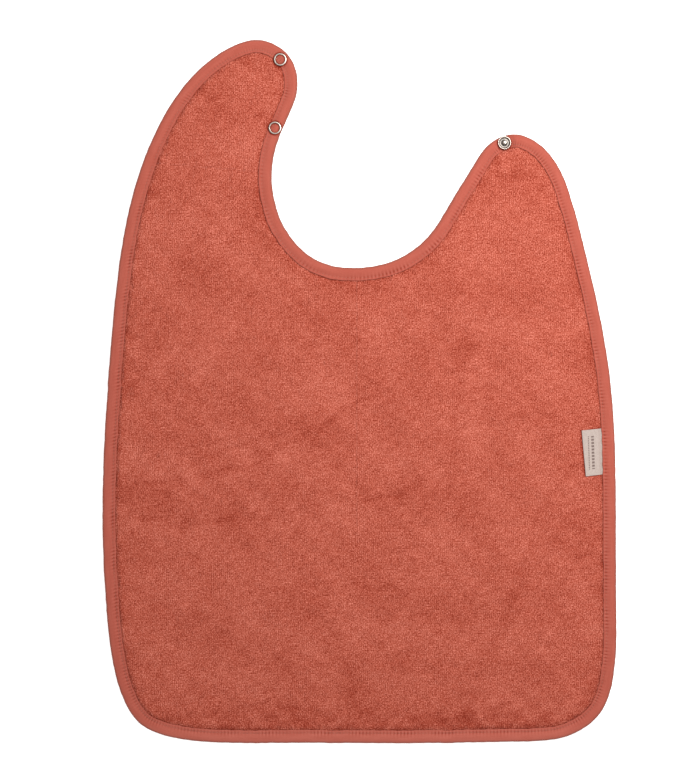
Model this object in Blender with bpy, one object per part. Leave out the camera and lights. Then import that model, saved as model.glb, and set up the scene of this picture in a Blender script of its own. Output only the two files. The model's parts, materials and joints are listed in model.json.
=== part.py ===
"""Terry feeding bib with a wrap-round neck strap and ring snaps, lying flat with its face up.

X runs across the bib, Y along it towards the strap, and Z out of its face. The origin is on the
surface that the bib lies on, under the middle of its outline. Shapes are worked out in
millimetres and scaled to metres once, in finish().
"""
import math

import bmesh
import bpy
import numpy as np
from mathutils import Matrix, Vector

MM = 0.001

# Driving dimensions, in millimetres. The outline is one smooth closed curve through these
# points, anticlockwise: hem, right side, shoulder, neck, strap tip, left side.
OUTLINE = (
    (0, -250), (60, -250), (112, -249), (151, -244), (172, -228), (181, -203), (183, -150),
    (182.5, -50), (175, 35), (162.5, 93), (151, 137), (140, 163), (127, 177), (112, 183),
    (95, 178), (82, 162), (65, 134), (46.5, 107.5), (24, 93), (-4, 88), (-30, 93.5),
    (-52, 115), (-60.5, 138), (-61, 165), (-52, 192), (-44, 214), (-48, 236), (-69, 250),
    (-97, 242), (-127.5, 213.5), (-149, 175), (-162, 136), (-172, 79), (-179, 0), (-182.5, -90),
    (-179, -162), (-172, -206), (-157, -235), (-120, -248), (-60, -250),
)
NECK_CENTRE = (-1.4, 150.2)
NECK_EDGE_REACH = 100.0     # edges nearer to the neck's centre than this are the neck's own

# Hinge lines run out from the neck's centre at these bearings, in degrees from +X.
SHOULDER_LINE = -8.0
STRAP_ROOT_LINE = 189.0
STRAP_MID_LINE = 161.0
CUT_GAP = 0.4               # slit between two regions of cloth, across a hinge line

# Layers of the cloth: a folded tape binds the rim of one layer of terry on both faces.
TERRY_PILE = 4.4
CLOTH_TOP = 4.6
MIDDLE = CLOTH_TOP / 2
TAPE = 1.1                  # thickness of the folded tape on each face
LAYER_GAP = 0.3
BINDING = 9.6               # width of the tape, from the outer edge inwards
STITCH_INSET = 9.0          # middle of the stitch line, from the outer edge
THREAD_WIDTH, THREAD_HEIGHT = 0.5, 0.25
STITCH_SINK = 0.55          # how far the stitching pulls the tape's surface in

# The snaps squeeze the layers from the heights on the left to the heights on the right.
FREE_HEIGHTS = (0.0, 0.25, 0.55, 1.1, 1.4, 3.2, 3.5, 4.05, 4.35, 4.6)
SQUEEZED_HEIGHTS = (0.0, 0.2, 0.5, 0.75, 1.05, 1.35, 1.65, 1.9, 2.2, 2.4)
SQUEEZE_REACH, SQUEEZE_FADE = 5.5, 9.0      # radii from the middle of a snap

# Snaps: centre, underside of the squeezed cloth, and where the first tooth points, as degrees
# from the nearest edge. The teeth straddle the stitch line, so that none of them cuts it.
SNAPS = {
    "tip": (-56.0, 235.8, 2.2, 180),
    "inner": (-59.7, 187.2, 2.2, 0),
    "shoulder": (103.4, 176.7, 1.0, 0),
}
SNAP_RADIUS = 4.5
TURN_SIDES = 20
PRONG_CIRCLE, PRONG_COUNT = 3.6, 5
PRONG_WIDTH, PRONG_DEPTH = 2 * PRONG_CIRCLE * math.tan(math.pi / TURN_SIDES), 0.5
PRONG_CLEARANCE = 0.15

# The woven label: its hinge is on the tape's inner edge on the right side.
LABEL_MIDDLE_Y = -42.2
LABEL_LENGTH, LABEL_THICKNESS = 32.6, 0.8
LABEL_REACHES = (12.0, 13.8)    # how far it stands out at its lower and its upper end
LABEL_SLANT = 0.9               # how far its free edge is shifted towards the hem
LABEL_BOTTOM = 4.7

TERRY_COLOUR = (0.53, 0.125, 0.078)
TAPE_COLOUR = (0.46, 0.112, 0.075)
THREAD_COLOUR = (0.56, 0.16, 0.11)
LABEL_COLOUR = (0.68, 0.50, 0.48)
METAL_COLOUR = (0.72, 0.71, 0.69)


def direction(bearing):
    """Unit vector at a bearing in degrees."""
    return np.array([math.cos(math.radians(bearing)), math.sin(math.radians(bearing))])


# ---------------------------------------------------------------------------- the outline

def closed_spline(anchors, steps=40):
    """Points on the closed curve through the anchors whose curvature has no jumps."""
    points = np.array(anchors, float)
    count = len(points)
    chord = np.linalg.norm(np.roll(points, -1, axis=0) - points, axis=1)
    system, right = np.zeros((count, count)), np.zeros((count, 2))
    for i in range(count):
        before, after, following = chord[i - 1], chord[i], (i + 1) % count
        system[i, i - 1] = before
        system[i, i] = 2 * (before + after)
        system[i, following] = after
        right[i] = 6 * ((points[following] - points[i]) / after
                        - (points[i] - points[i - 1]) / before)
    bend = np.linalg.solve(system, right)
    pieces = []
    for i in range(count):
        following = (i + 1) % count
        b = (np.arange(steps) / steps)[:, None]
        a = 1 - b
        pieces.append(a * points[i] + b * points[following]
                      + ((a**3 - a) * bend[i] + (b**3 - b) * bend[following]) * chord[i]**2 / 6)
    return np.vstack(pieces)


EDGE = closed_spline(OUTLINE)
STEPS = np.linalg.norm(np.roll(EDGE, -1, axis=0) - EDGE, axis=1)
ALONG = np.roll(EDGE, -1, axis=0) - np.roll(EDGE, 1, axis=0)
ALONG /= np.linalg.norm(ALONG, axis=1)[:, None]
INWARD = np.stack([-ALONG[:, 1], ALONG[:, 0]], axis=1)
TURNING = np.abs(np.cross(ALONG, np.roll(ALONG, -1, axis=0)))
SNAP_DISTANCE = np.min([np.linalg.norm(EDGE - (x, y), axis=1) for x, y, *_ in SNAPS.values()],
                       axis=0)
# How many stations a stretch of edge deserves: some for length, more for bends and snaps.
STATION_DENSITY = STEPS / 70 + TURNING / 0.2 + np.where(SNAP_DISTANCE < 11, STEPS / 3, 0)
STATION_COUNT = np.concatenate([[0], np.cumsum(STATION_DENSITY)])


def inset_points(stations, inset):
    """Points at the given places along the edge, moved in from it by inset."""
    low = np.floor(stations).astype(int)
    part = (stations - low)[:, None]
    low, high = low % len(EDGE), (low + 1) % len(EDGE)
    moved = EDGE + inset * INWARD
    return moved[low] * (1 - part) + moved[high] * part


def crossing(line, outer, side, inset):
    """Station where the inset edge crosses a hinge line, on one side of the slit along it."""
    relative = EDGE + inset * INWARD - NECK_CENTRE
    ahead = relative @ direction(line)
    across = relative @ direction(line + 90) - side * CUT_GAP / 2
    beyond = np.roll(across, -1)
    hits = np.flatnonzero((across * beyond <= 0) & (ahead > 0)
                          & ((ahead > NECK_EDGE_REACH) == outer))
    return hits[0] + across[hits[0]] / (across[hits[0]] - beyond[hits[0]])


class Run:
    """A stretch of the edge between two crossings of hinge lines, taken anticlockwise."""

    def __init__(self, start, end):
        self.start, self.end = start, end
        first, last = self.ends(0)
        ticks = np.arange(2 * len(EDGE) + 1)
        counted = np.concatenate([STATION_COUNT[:-1], STATION_COUNT + STATION_COUNT[-1]])
        begun, done = np.interp([first, last], ticks, counted)
        levels = np.linspace(begun, done, math.ceil(done - begun) + 1)
        self.shares = (np.interp(levels, counted, ticks) - first) / (last - first)

    def ends(self, inset):
        first, last = crossing(*self.start, inset), crossing(*self.end, inset)
        return first, last + (len(EDGE) if last < first else 0)

    def column(self, inset, height):
        """One line of points along the run, at an inset and a height."""
        first, last = self.ends(inset)
        flat = inset_points(first + self.shares * (last - first), inset)
        return squeeze(np.column_stack([flat, np.full(len(flat), height)]))


def squeeze(points):
    """Press the layers together round each snap."""
    heights = points[:, 2].copy()
    for x, y, underside, _ in SNAPS.values():
        away = np.linalg.norm(points[:, :2] - (x, y), axis=1)
        held = np.clip((SQUEEZE_FADE - away) / (SQUEEZE_FADE - SQUEEZE_REACH), 0, 1)
        held = held * held * (3 - 2 * held)
        pressed = underside + np.interp(points[:, 2], FREE_HEIGHTS, SQUEEZED_HEIGHTS)
        heights += held * (pressed - points[:, 2])
    return np.column_stack([points[:, :2], heights])


# Each end is a hinge line, whether it is crossed at the outer edge, and the side of the slit.
PANEL_OUTER = Run((STRAP_ROOT_LINE, True, 1), (SHOULDER_LINE, True, -1))
PANEL_NECK = Run((SHOULDER_LINE, False, -1), (STRAP_ROOT_LINE, False, 1))
SHOULDER_EDGE = Run((SHOULDER_LINE, True, 1), (SHOULDER_LINE, False, 1))
LOWER_NECK = Run((STRAP_ROOT_LINE, False, -1), (STRAP_MID_LINE, False, 1))
LOWER_OUTER = Run((STRAP_MID_LINE, True, 1), (STRAP_ROOT_LINE, True, -1))
TIP_EDGE = Run((STRAP_MID_LINE, False, -1), (STRAP_MID_LINE, True, -1))


# ------------------------------------------------------------------- bodies and materials

def hinge_frame(line, lift_bearing):
    """Frame with its origin on a hinge line, at mid-width on the cloth's top, X along the axis."""
    inner = inset_points(np.array([crossing(line, False, 0, 0)]), 0)[0]
    outer = inset_points(np.array([crossing(line, True, 0, 0)]), 0)[0]
    middle = (inner + outer) / 2
    return (Matrix.Translation((*middle, CLOTH_TOP))
            @ Matrix.Rotation(math.radians(lift_bearing), 4, "Z"))


def label_frame():
    """Frame on the label's hinge: X points along the tape's inner edge, Y away from the tape."""
    right = np.flatnonzero(EDGE[:, 0] > 155)
    station = np.interp(LABEL_MIDDLE_Y, EDGE[right, 1], right)
    below, place, above = inset_points(station + np.array([-1, 0, 1]), BINDING + LAYER_GAP)
    bearing = math.degrees(math.atan2(*(above - below)[::-1]))
    return (Matrix.Translation((*place, LABEL_BOTTOM + LABEL_THICKNESS))
            @ Matrix.Rotation(math.radians(bearing), 4, "Z"))


FRAMES = {
    "strap_root_hinge": hinge_frame(STRAP_ROOT_LINE, STRAP_ROOT_LINE - 180),
    "strap_mid_hinge": hinge_frame(STRAP_MID_LINE, STRAP_MID_LINE - 180),
    "shoulder_hinge": hinge_frame(SHOULDER_LINE, SHOULDER_LINE),
    "label_hinge": label_frame(),
}


def add_pivot(name, parent=None):
    """Empty on a joint's axis, which carries the pieces that turn about it."""
    pivot = bpy.data.objects.new(name, None)
    bpy.context.collection.objects.link(pivot)
    pivot.empty_display_size = 20 * MM
    world = metres(FRAMES[name])
    pivot.matrix_world = world
    if parent:
        pivot.parent = parent
        pivot.matrix_local = metres(FRAMES[parent.name]).inverted() @ world
    return pivot


def metres(frame):
    """A frame in millimetres, as one in metres."""
    result = frame.copy()
    result.translation = frame.translation * MM
    return result


def make_material(name, colour, roughness, metallic=0.0):
    material = bpy.data.materials.new(name)
    material.use_nodes = True
    shader = material.node_tree.nodes["Principled BSDF"]
    shader.inputs["Base Color"].default_value = (*colour, 1)
    shader.inputs["Roughness"].default_value = roughness
    shader.inputs["Metallic"].default_value = metallic
    material.diffuse_color = (*colour, 1)
    return material


def finish(name, bm, material, pivot=None, place=None):
    """Make a named object from a mesh in millimetres.

    Its own frame is place, or else the pivot's frame, and the mesh is given in the world's.
    """
    bm.normal_update()
    bmesh.ops.recalc_face_normals(bm, faces=bm.faces)
    world = metres(place or (FRAMES[pivot.name] if pivot else Matrix.Identity(4)))
    bm.transform(world.inverted() @ Matrix.Scale(MM, 4))
    mesh = bpy.data.meshes.new(name)
    bm.to_mesh(mesh)
    bm.free()
    mesh.shade_smooth()
    mesh.set_sharp_from_angle(angle=math.radians(35))
    mesh.materials.append(material)
    piece = bpy.data.objects.new(name, mesh)
    bpy.context.collection.objects.link(piece)
    if pivot:
        piece.parent = pivot
        piece.matrix_local = metres(FRAMES[pivot.name]).inverted() @ world
    else:
        piece.matrix_world = world
    return piece


# ------------------------------------------------------------------------- tape and thread

def tape_profile():
    """Section of the folded tape, as insets and heights: a channel that opens inwards."""
    outside = [(BINDING, CLOTH_TOP - STITCH_SINK), (BINDING - 2, CLOTH_TOP - STITCH_SINK),
               (BINDING - 3.4, CLOTH_TOP), (2.0, CLOTH_TOP), (0.5, CLOTH_TOP - 0.8),
               (0.0, MIDDLE)]
    inside = [(1.0, MIDDLE), (2.6, CLOTH_TOP - TAPE), (BINDING, CLOTH_TOP - TAPE)]
    below = [(inset, CLOTH_TOP - height) for inset, height in outside[-2::-1]]
    inside_below = [(inset, CLOTH_TOP - height) for inset, height in inside[:0:-1]]
    return outside + below + inside_below + inside


def thread_profile(on_face):
    """Section of a line of thread that lies in the valley of its stitches."""
    low = CLOTH_TOP - THREAD_HEIGHT if on_face else 0.0
    near, far = STITCH_INSET - THREAD_WIDTH / 2, STITCH_INSET + THREAD_WIDTH / 2
    return [(near, low), (near, low + THREAD_HEIGHT), (far, low + THREAD_HEIGHT), (far, low)]


def skin(bm, columns, profile, closed):
    """Triangles between neighbouring columns of points.

    Each diagonal leans the same way whichever column comes first, so that layers which follow
    each other closely are folded along the same lines.
    """
    count = len(columns)
    for k in range(count if closed else count - 1):
        here, following = columns[k], columns[(k + 1) % count]
        leans = profile[k][0] > profile[(k + 1) % count][0]
        for i in range(len(here) - 1):
            corners = [here[i], here[i + 1], following[i + 1], following[i]]
            if leans:
                corners = corners[1:] + corners[:1]
            bm.faces.new((corners[0], corners[1], corners[3]))
            bm.faces.new((corners[1], corners[2], corners[3]))


def sweep(run, profile):
    """Closed mesh with the profile carried along a run, ended flat on its hinge lines."""
    bm = bmesh.new()
    columns = [[bm.verts.new(point) for point in run.column(*place)] for place in profile]
    skin(bm, columns, profile, closed=True)
    bm.faces.new([column[0] for column in columns])
    bm.faces.new([column[-1] for column in reversed(columns)])
    return bm


# -------------------------------------------------------------------------------- terry

def terry_profile(snapped):
    """Section of the terry from its thick field out to its thin rim, and back underneath."""
    field = [(16.0, TERRY_PILE)] if snapped else []
    top = field + [(BINDING + 1.0, TERRY_PILE), (BINDING + LAYER_GAP, 3.2), (2.9, 3.2)]
    bottom = [(inset, 1.4 if height == 3.2 else 0.0) for inset, height in reversed(top)]
    return top + bottom


def cloth(runs, snapped=False):
    """Closed mesh of one region of terry, bounded by runs of edge and by hinge lines."""
    bm = bmesh.new()
    profile = terry_profile(snapped)
    strips = []
    for run in runs:
        strip = [[bm.verts.new(point) for point in run.column(*place)] for place in profile]
        skin(bm, strip, profile, closed=False)
        strips.append(strip)
    for strip, following in zip(strips, strips[1:] + strips[:1]):
        bm.faces.new([column[-1] for column in strip]
                     + [column[0] for column in reversed(following)])
    bm.faces.new([vert for strip in strips for vert in strip[0]])
    bm.faces.new([vert for strip in reversed(strips) for vert in reversed(strip[-1])])
    return bm


# -------------------------------------------------------------------------------- snaps

def turned(profile, sides=TURN_SIDES, turn=1.0):
    """Closed mesh of a profile of radii and heights turned about Z, all the way or part way."""
    bm = bmesh.new()
    whole = turn == 1.0
    count = sides if whole else sides + 1
    rings = []
    for i in range(count):
        angle = 2 * math.pi * turn * (i - 0.5) / sides
        rings.append([bm.verts.new((r * math.cos(angle), r * math.sin(angle), z))
                      for r, z in profile])
    for here, following in zip(rings, rings[1:] + (rings[:1] if whole else [])):
        for i in range(len(profile)):
            j = (i + 1) % len(profile)
            if profile[i][0] == 0 and profile[j][0] == 0:
                continue
            bm.faces.new((here[i], here[j], following[j], following[i]))
    if not whole:
        bm.faces.new(rings[0])
        bm.faces.new(list(reversed(rings[-1])))
    bmesh.ops.remove_doubles(bm, verts=bm.verts, dist=1e-5)
    return bm


def snap_place(snap, height=0.0):
    """Frame at the middle of a snap, with X along its first tooth."""
    x, y, _, turn = SNAPS[snap]
    outward = EDGE[np.argmin(np.linalg.norm(EDGE - (x, y), axis=1))] - (x, y)
    bearing = math.atan2(outward[1], outward[0]) + math.radians(turn)
    return Matrix.Translation((x, y, height)) @ Matrix.Rotation(bearing, 4, "Z")


def prong_ring(flange, prong_tip):
    """Open ring with teeth that pierce the cloth. It stands on z = 0 with its teeth downwards."""
    inner, outer = PRONG_CIRCLE - PRONG_DEPTH / 2, PRONG_CIRCLE + PRONG_DEPTH / 2
    bm = turned([(inner, 0.0), (outer, 0.0), (SNAP_RADIUS - 0.1, 0.0), (SNAP_RADIUS, 0.25),
                 (SNAP_RADIUS - 0.3, flange - 0.1), (SNAP_RADIUS - 0.6, flange),
                 (inner + 0.1, flange - 0.1), (inner, 0.3)])
    bm.faces.ensure_lookup_table()
    seats = []
    for face in bm.faces:
        middle = face.calc_center_median()
        bearing = math.degrees(math.atan2(middle.y, middle.x)) % (360 / PRONG_COUNT)
        on_seat = abs(middle.z) < 1e-4 and abs(Vector(middle.xy).length - PRONG_CIRCLE) < 0.2
        if on_seat and min(bearing, 360 / PRONG_COUNT - bearing) < 1:
            seats.append(face)
    teeth = bmesh.ops.extrude_discrete_faces(bm, faces=seats)["faces"]
    for tooth in teeth:
        middle = tooth.calc_center_median()
        for vert in tooth.verts:
            vert.co = middle + (vert.co - middle) * 0.6 + Vector((0, 0, -prong_tip))
    return bm


def socket_body():
    """Socket on the back of the strap: the channel on top takes the teeth, the groove in the
    bore takes the spring."""
    return turned([(1.9, 0.0), (4.2, 0.0), (SNAP_RADIUS, 0.3), (SNAP_RADIUS, 1.9), (4.1, 1.9),
                   (4.1, 0.4), (3.0, 0.4), (3.0, 1.9), (1.9, 1.9), (1.9, 1.45), (2.6, 1.45),
                   (2.6, 0.45), (1.9, 0.45)])


def ring_spring():
    """Split ring of wire that grips the stud's neck."""
    middle, thick = 2.0, 0.25
    wire = [(middle + thick * math.cos(a), 0.95 + thick * math.sin(a))
            for a in (2 * math.pi * i / 6 for i in range(6))]
    return turned(wire, sides=14, turn=0.88)


def stud_body():
    """Stud on the face of the shoulder: a rimmed flange round a domed post with a neck."""
    return turned([(0.0, 0.0), (3.0, 0.0), (3.0, 0.6), (4.1, 0.6), (4.1, 0.0), (4.5, 0.0),
                   (4.75, 0.4), (4.6, 1.3), (4.0, 1.5), (3.4, 1.05), (2.0, 1.0), (1.45, 1.4),
                   (1.4, 1.9), (1.7, 2.3), (1.65, 2.7), (1.1, 3.05), (0.0, 3.15)])


def prong_holes(snap):
    """Cutter for the slots that a snap's teeth make in the cloth, left out of the model."""
    bm = bmesh.new()
    for i in range(PRONG_COUNT):
        turn = Matrix.Rotation(2 * math.pi * i / PRONG_COUNT, 4, "Z")
        size = Matrix.Diagonal((PRONG_DEPTH + 2 * PRONG_CLEARANCE,
                                PRONG_WIDTH + 2 * PRONG_CLEARANCE, 12, 1))
        bmesh.ops.create_cube(bm, size=1, matrix=turn
                              @ Matrix.Translation((PRONG_CIRCLE, 0, 0)) @ size)
    bm.transform(snap_place(snap))
    cutter = finish(f"cutter_prongs_{snap}", bm, bpy.data.materials["brass_snap"])
    cutter.hide_render = True
    cutter.display_type = "WIRE"
    return cutter


def pierce(piece, cutters):
    for cutter in cutters:
        hole = piece.modifiers.new("prong_holes", "BOOLEAN")
        hole.operation = "DIFFERENCE"
        hole.solver = "EXACT"
        hole.object = cutter


def add_socket_snap(snap, pivot, metal):
    """Snap on the strap: an open prong ring on the face, a socket with its spring behind."""
    top = SNAPS[snap][2] + SQUEEZED_HEIGHTS[-1]
    ring_place = snap_place(snap, top + LAYER_GAP)
    ring = prong_ring(flange=0.7, prong_tip=top + LAYER_GAP - 0.9)
    ring.transform(ring_place)
    finish(f"{snap}_prong_ring", ring, metal, pivot, ring_place)
    base = snap_place(snap)
    for name, body in (("socket", socket_body()), ("socket_spring", ring_spring())):
        body.transform(base)
        finish(f"{snap}_{name}", body, metal, pivot, base)


def add_stud_snap(snap, pivot, metal):
    """Snap on the shoulder: a stud on the face, an open prong ring behind with its teeth up."""
    underside = SNAPS[snap][2]
    top = underside + SQUEEZED_HEIGHTS[-1] + LAYER_GAP
    ring_place = snap_place(snap, underside - LAYER_GAP) @ Matrix.Rotation(math.pi, 4, "X")
    ring = prong_ring(flange=0.7, prong_tip=top + 0.4 - (underside - LAYER_GAP))
    ring.transform(ring_place)
    finish("stud_prong_ring", ring, metal, pivot, ring_place)
    stud = stud_body()
    stud.transform(snap_place(snap, top))
    finish("snap_stud", stud, metal, pivot, snap_place(snap, top))


# -------------------------------------------------------------------------------- label

def label_flap():
    """The part of the folded label that stands out of the seam and lies on the terry."""
    bm = bmesh.new()
    fold = 0.25
    ends = []
    for x, reach in zip((-LABEL_LENGTH / 2, LABEL_LENGTH / 2), LABEL_REACHES):
        section = [(0, -LABEL_THICKNESS), (0, 0), (reach - fold, 0), (reach, -fold),
                   (reach, fold - LABEL_THICKNESS), (reach - fold, -LABEL_THICKNESS)]
        ends.append([bm.verts.new((x - LABEL_SLANT * y / reach, y, z)) for y, z in section])
    for i in range(len(section)):
        j = (i + 1) % len(section)
        bm.faces.new((ends[0][i], ends[0][j], ends[1][j], ends[1][i]))
    bm.faces.new(ends[0])
    bm.faces.new(list(reversed(ends[1])))
    bm.transform(FRAMES["label_hinge"])
    return bm


# ------------------------------------------------------------------------------ assembly

def add_bound_region(region, edges, runs, cloth_materials, pivot=None, snaps=()):
    """Terry of one region, with its tape and its two lines of thread on each run of edge."""
    terry, tape, thread = cloth_materials
    cutters = [prong_holes(snap) for snap in snaps]
    pierce(finish(f"{region}_terry", cloth(runs, bool(snaps)), terry, pivot), cutters)
    for edge, run in zip(edges, runs):
        pierce(finish(f"{region}_{edge}", sweep(run, tape_profile()), tape, pivot), cutters)
        for face in ("face", "back"):
            line = sweep(run, thread_profile(face == "face"))
            finish(f"{region}_{edge}_stitch_{face}", line, thread, pivot)


def main():
    for piece in list(bpy.data.objects):
        bpy.data.objects.remove(piece, do_unlink=True)
    cloth_materials = (make_material("terry", TERRY_COLOUR, 0.95),
                       make_material("binding_tape", TAPE_COLOUR, 0.85),
                       make_material("sewing_thread", THREAD_COLOUR, 0.7))
    label_material = make_material("woven_label", LABEL_COLOUR, 0.6)
    metal = make_material("brass_snap", METAL_COLOUR, 0.25, 1.0)

    root_hinge = add_pivot("strap_root_hinge")
    mid_hinge = add_pivot("strap_mid_hinge", root_hinge)
    shoulder_hinge = add_pivot("shoulder_hinge")
    label_hinge = add_pivot("label_hinge")

    add_bound_region("panel", ("outer_binding", "neck_binding"), (PANEL_OUTER, PANEL_NECK),
                     cloth_materials)
    add_bound_region("strap", ("outer_binding", "neck_binding"), (LOWER_OUTER, LOWER_NECK),
                     cloth_materials, root_hinge)
    add_bound_region("strap_tip", ("binding",), (TIP_EDGE,), cloth_materials, mid_hinge,
                     ("tip", "inner"))
    add_bound_region("shoulder", ("binding",), (SHOULDER_EDGE,), cloth_materials,
                     shoulder_hinge, ("shoulder",))
    add_socket_snap("tip", mid_hinge, metal)
    add_socket_snap("inner", mid_hinge, metal)
    add_stud_snap("shoulder", shoulder_hinge, metal)
    finish("side_label", label_flap(), label_material, label_hinge)


main()
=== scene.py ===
"""Looks of the terry bib: towelling, bound edge, stitches, ring snaps and label, round the frame.

Lengths are in millimetres until make_mesh() scales them to metres.
"""
import json
import math

import bpy
import numpy as np
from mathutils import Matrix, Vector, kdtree


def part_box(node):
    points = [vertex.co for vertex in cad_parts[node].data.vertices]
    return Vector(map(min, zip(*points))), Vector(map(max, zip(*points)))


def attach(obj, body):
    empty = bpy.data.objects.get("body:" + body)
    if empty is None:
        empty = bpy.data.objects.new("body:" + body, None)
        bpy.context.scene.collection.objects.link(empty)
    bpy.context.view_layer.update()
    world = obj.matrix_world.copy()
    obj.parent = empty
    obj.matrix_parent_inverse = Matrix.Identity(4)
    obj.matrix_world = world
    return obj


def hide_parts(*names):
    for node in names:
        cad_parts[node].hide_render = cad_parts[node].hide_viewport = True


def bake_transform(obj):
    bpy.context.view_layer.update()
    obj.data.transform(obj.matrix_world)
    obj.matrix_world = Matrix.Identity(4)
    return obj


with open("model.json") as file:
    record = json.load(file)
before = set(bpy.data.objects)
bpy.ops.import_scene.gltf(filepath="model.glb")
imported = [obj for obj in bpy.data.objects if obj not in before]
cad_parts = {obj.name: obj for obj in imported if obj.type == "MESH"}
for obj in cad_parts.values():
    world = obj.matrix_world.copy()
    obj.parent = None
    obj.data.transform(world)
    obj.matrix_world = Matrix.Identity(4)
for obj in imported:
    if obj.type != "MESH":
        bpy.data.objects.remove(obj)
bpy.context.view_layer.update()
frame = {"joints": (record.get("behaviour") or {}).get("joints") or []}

MM = 0.001
EXPOSURE = 1.8              # brightness of the stage's light on a flat surface
TERRY_SHOWN = (195, 93, 72) # screen colours in that light
# the second colour is painted shade along the tape's outer fold
TAPE_SHOWN, FOLD_SHADE_SHOWN = (194, 97, 80), (144, 86, 70)
TONE_REACH = 54             # how far a ramp goes from its middle colour, either way
NICKEL, NICKEL_ROUGHNESS = (0.44, 0.375, 0.325), 0.28
SPRING_STEEL, SPRING_ROUGHNESS = (0.30, 0.28, 0.26), 0.30
# the first colour is painted dark reflection for the snaps' grooves and ring edges; the second is
# the label's print
PAINTED_DARK_REFLECTION, LABEL_THREAD = (0.055, 0.05, 0.045, 1), (0.075, 0.040, 0.032, 1)
OUTLINE = (  # the outer edge, anticlockwise from the middle of the hem
    (0, -250), (60, -250), (112, -249), (151, -244), (172, -228), (181, -203), (183, -150),
    (182.5, -50), (175, 35), (162.5, 93), (151, 137), (140, 163), (127, 177), (112, 183),
    (95, 178), (82, 162), (65, 134), (46.5, 107.5), (24, 93), (-4, 88), (-30, 93.5),
    (-52, 115), (-60.5, 138), (-61, 165), (-52, 192), (-44, 214), (-48, 236), (-69, 250),
    (-97, 242), (-127.5, 213.5), (-149, 175), (-162, 136), (-172, 79), (-179, 0), (-182.5, -90),
    (-179, -162), (-172, -206), (-157, -235), (-120, -248), (-60, -250),
)
NECK_CENTRE = np.array((-1.4, 150.2))
NECK_EDGE_REACH = 100.0     # edges nearer to the neck's centre than this are the neck's own
STRAP_CUT = 175.0           # bearing of the cut through the strap, between its two hinges
FRONT_CUT = 270.0           # bearing of the cut down the front, between strap and shoulder

CLOTH_TOP = 4.6
CLOTH_MIDDLE = CLOTH_TOP / 2
BINDING = 9.4               # width of the tape
STITCH_INSET = 7.4          # middle of the stitch line, from the outer edge
STITCH_PITCH, STITCH_LENGTH = 2.45, 1.75
STITCH_RINGS, THREAD_SIDES = 9, 8
STITCH_RISE = 1.74          # height of a stitch above or below the middle of the cloth
TAPE_STEP = STITCH_PITCH / 4
RIB, LOOP = 1.4, 1.4        # pitch of the terry's ribs, and of the loops along them
PILE = 4.25                 # mean height of the terry's face
TERRY_INSET = 4.2           # how far in from the edge the terry starts, inside the tape
HELD_TOP, HELD_UNDER = 3.15, 1.45   # heights of its two faces there
FREE_UNDER = 0.1            # height of its underside in the open
WAVE_HEIGHT, EDGE_WAVE = 0.24, 0.25 # lift of the cloth's gentle waves, and more at its edge

# The snaps squeeze the layers from the heights on the left to the heights on the right.
FREE_HEIGHTS = (0.0, 0.25, 0.55, 1.1, 1.4, 3.2, 3.5, 4.05, 4.35, 4.6)
SQUEEZED_HEIGHTS = (0.0, 0.2, 0.5, 0.75, 1.05, 1.35, 1.65, 1.9, 2.2, 2.4)
SQUEEZE_REACH, SQUEEZE_FADE = 5.5, 9.0

TURN_SIDES = 72             # facets round a turned piece
RING_BASE, RING_TEETH_TIP = 4.9, 0.95   # heights of an open ring's foot and its teeth's tips
STUD_BASE = 3.7             # height of the stud's foot
STUD_BACK_TOP, STUD_TEETH_TIP = 0.7, 4.05   # heights for the ring behind the stud
TEETH, TOOTH_RADIUS = 5, 3.6
SPRING_RADIUS, SPRING_WIRE, SPRING_HEIGHT = 2.0, 0.24, 0.95
SPRING_SHARE = 0.88         # how much of a circle the split ring covers

FIELD_HEIGHT = 0.549        # metres of floor from the picture's top to its bottom
FIELD_MIDDLE = (-0.0096, 0.0036)
LENS, SENSOR = 85, 36
WORLD_STRENGTH = 1.03
LAMP_PLACE, LAMP_SIZE, LAMP_POWER = (0.35, 0.40, 0.75), 0.5, 10.8
FLOOR_REACH, FLOOR_HEIGHT, FLOOR_GLOW = 9.0, -0.0002, 0.42


def middle_of(node):
    """Middle of a CAD node's box, in millimetres."""
    low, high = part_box(node)
    return (low + high) / 2 / MM


def joint_named(name):
    return next(joint for joint in frame["joints"] if joint["name"] == name)


def direction(bearing):
    return np.array([math.cos(math.radians(bearing)), math.sin(math.radians(bearing))])


def smooth(value, low, high):
    """0 below low, 1 above high, and an even S between."""
    t = np.clip((value - low) / (high - low), 0, 1)
    return t * t * (3 - 2 * t)


def ripple(points, wavelength, seed, count=10):
    """Even, irregular waves of about the wavelength, with a mean of 0 and a spread of 1."""
    rng = np.random.default_rng(seed)
    total = np.zeros(len(points))
    for _ in range(count):
        along = direction(rng.uniform(0, 360)) * 2 * math.pi / (wavelength * rng.uniform(0.6, 1.6))
        total += np.cos(points[:, 0] * along[0] + points[:, 1] * along[1] + rng.uniform(0, 6.3))
    return total / math.sqrt(count / 2)


# ---------------------------------------------------------------------------- the outline

def closed_spline(anchors, steps=40):
    """Points on the closed curve through the anchors whose curvature has no jumps."""
    points = np.array(anchors, float)
    count = len(points)
    chord = np.linalg.norm(np.roll(points, -1, axis=0) - points, axis=1)
    system, right = np.zeros((count, count)), np.zeros((count, 2))
    for i in range(count):
        before, after, following = chord[i - 1], chord[i], (i + 1) % count
        system[i, i - 1] = before
        system[i, i] = 2 * (before + after)
        system[i, following] = after
        right[i] = 6 * ((points[following] - points[i]) / after
                        - (points[i] - points[i - 1]) / before)
    bend = np.linalg.solve(system, right)
    pieces = []
    for i in range(count):
        following = (i + 1) % count
        b = (np.arange(steps) / steps)[:, None]
        a = 1 - b
        pieces.append(a * points[i] + b * points[following]
                      + ((a**3 - a) * bend[i] + (b**3 - b) * bend[following]) * chord[i]**2 / 6)
    return np.vstack(pieces)


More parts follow.
